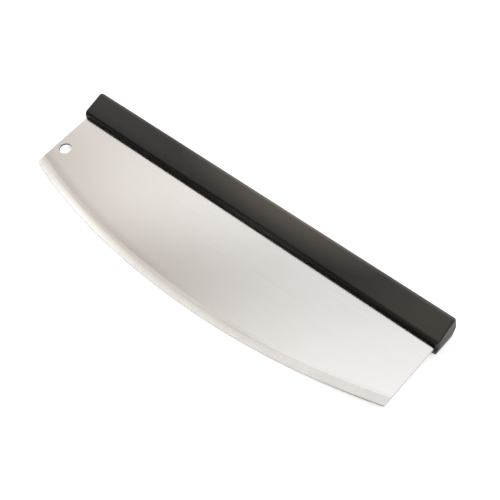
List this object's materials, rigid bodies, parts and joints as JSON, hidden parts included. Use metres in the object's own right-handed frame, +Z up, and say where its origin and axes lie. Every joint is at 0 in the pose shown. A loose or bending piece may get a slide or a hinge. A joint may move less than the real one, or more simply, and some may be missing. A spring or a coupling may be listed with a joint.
{
  "type": "rocker pizza cutter",
  "caption": "Rocker pizza cutter: a wide steel blade with a curved cutting edge, held in a long moulded bar handle, rocked through a pizza to slice it. Hangs on a round hole in the blade.",
  "frame": {"origin": "on the table, under the middle of the cutter as it lies on its cutting edge and the back edge of its handle", "axes": "+X along the handle, away from the end with the hanging hole; +Y from the cutting edge to the handle's back; +Z up"},
  "size_m": [0.3588, 0.1088, 0.0237],
  "materials": {
    "blade_steel": "satin, brushed along the handle, with a ground bevel",
    "handle_plastic": "fine matte moulded charcoal black",
    "pin_steel": "plain ground dowel"
  },
  "bodies": {
    "root": {"blade": "blade_steel", "handle_upper_half": "handle_plastic", "handle_lower_half": "handle_plastic", "pin_1": "pin_steel", "pin_2": "pin_steel", "pin_3": "pin_steel", "pin_4": "pin_steel", "pin_5": "pin_steel"}
  },
  "joints": []
}
